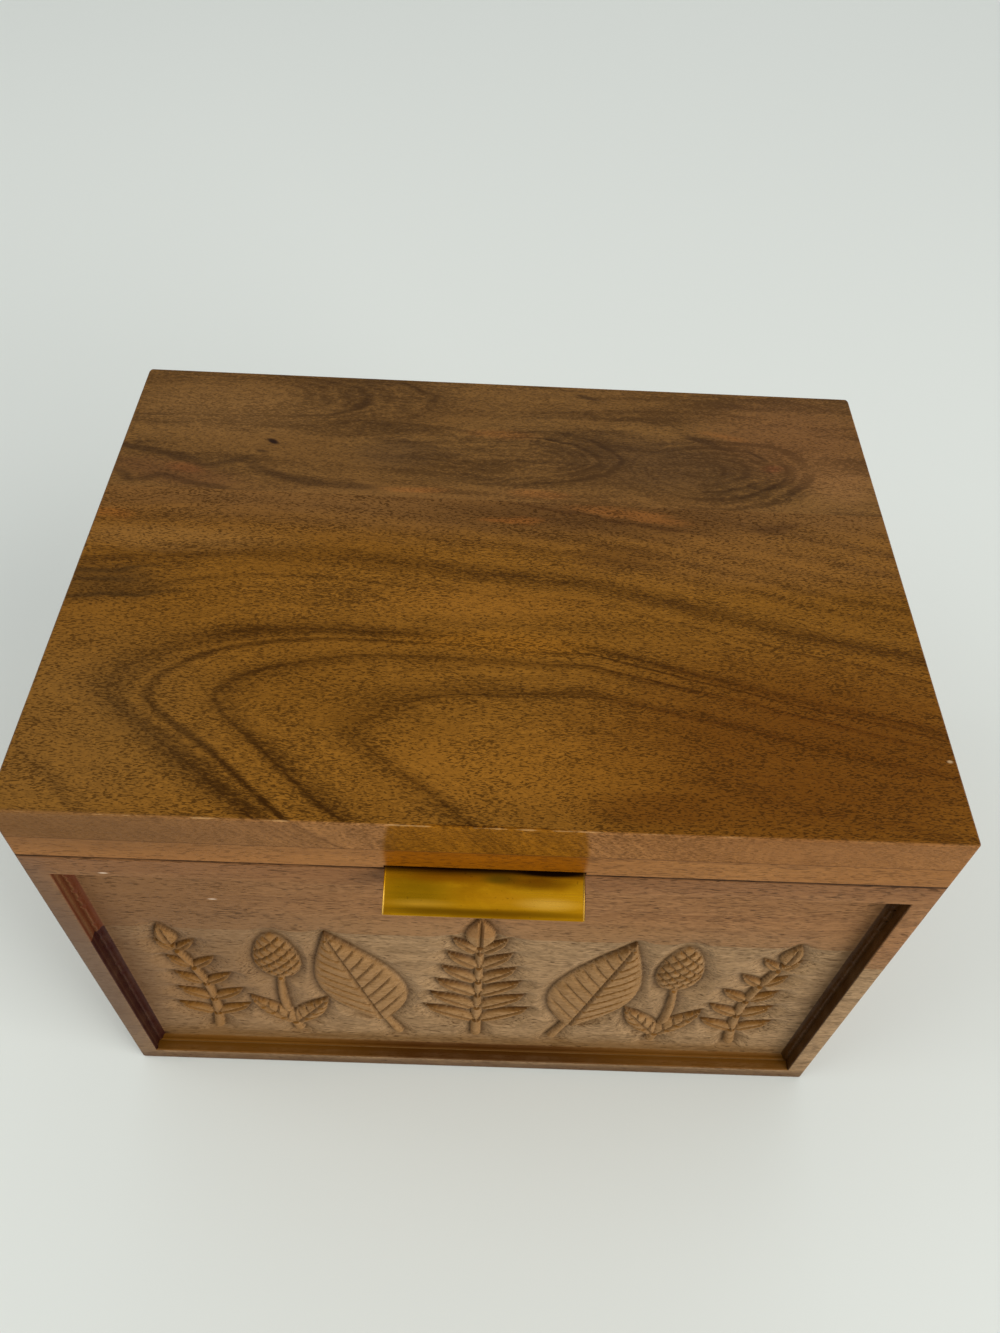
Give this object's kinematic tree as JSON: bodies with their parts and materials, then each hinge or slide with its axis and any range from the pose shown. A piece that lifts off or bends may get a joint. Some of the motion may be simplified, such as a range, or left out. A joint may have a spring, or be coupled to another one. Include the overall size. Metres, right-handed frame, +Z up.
{
  "type": "hinged wooden storage box",
  "caption": "Rectangular wooden box with a hinged lid, a recessed front panel with carved leaf ornament, and a curved brass pull under the lid's front edge, for cards and keepsakes.",
  "frame": {"origin": "centre of the base, on the surface that the box stands on", "axes": "+X to the right of someone who faces the front, +Y to the rear, +Z up"},
  "size_m": [0.178, 0.1386, 0.1265],
  "materials": {
    "wall_wood": "waxed, satin",
    "lid_wood": "waxed, satin",
    "rail_wood": "waxed, satin",
    "base_wood": "plain, matt",
    "pull_brass": "aged, satin",
    "hinge_brass": "aged, satin",
    "screw_brass": "aged, satin"
  },
  "bodies": {
    "box": {"front_lower_board": "wall_wood", "front_upper_board": "wall_wood", "back_lower_board": "wall_wood", "back_upper_board": "wall_wood", "left_lower_board": "wall_wood", "left_upper_board": "wall_wood", "right_lower_board": "wall_wood", "right_upper_board": "wall_wood", "base_panel": "base_wood", "left_hinge_body_leaf": "hinge_brass", "right_hinge_body_leaf": "hinge_brass", "left_hinge_pin": "hinge_brass", "right_hinge_pin": "hinge_brass", "body_leaf_screws": "screw_brass"},
    "lid": {"lid_front_board": "lid_wood", "lid_rear_board": "lid_wood", "lid_front_rail": "rail_wood", "lid_back_rail": "rail_wood", "lid_left_rail": "rail_wood", "lid_right_rail": "rail_wood", "lid_pull": "pull_brass", "pull_screws": "screw_brass", "left_hinge_lid_leaf": "hinge_brass", "right_hinge_lid_leaf": "hinge_brass", "lid_leaf_screws": "screw_brass"}
  },
  "joints": [
    {"name": "lid_hinge", "type": "hinge", "parent": "box", "child": "lid", "pos_m": [0, 0.062, 0.11035], "axis": [-1, 0, 0], "range_deg": [0, 100]}
  ]
}
